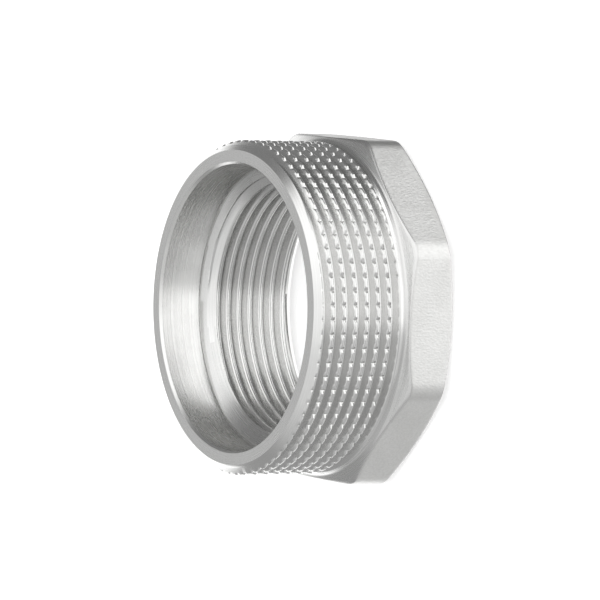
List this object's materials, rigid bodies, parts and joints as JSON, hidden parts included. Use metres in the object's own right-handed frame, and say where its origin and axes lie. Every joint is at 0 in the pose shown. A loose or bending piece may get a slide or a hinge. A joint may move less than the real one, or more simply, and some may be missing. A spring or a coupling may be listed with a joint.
{
  "type": "reducing pipe bushing",
  "caption": "Reducing bushing for threaded pipe: male pipe thread in front, chamfered octagonal wrench section behind, a plain counterbore and a female pipe thread right through.",
  "frame": {"origin": "centre of the wrench section's back face, on the bore axis", "axes": "+Z along the bore, from the wrench section's back face to the counterbored mouth of the male thread; +X at right angles to one flat of the wrench section"},
  "size_m": [0.0614, 0.0614, 0.0274],
  "materials": {
    "plated_brass": "nickel-plated, turned, with blasted flats"
  },
  "bodies": {
    "root": {"bushing": "plated_brass"}
  },
  "joints": []
}
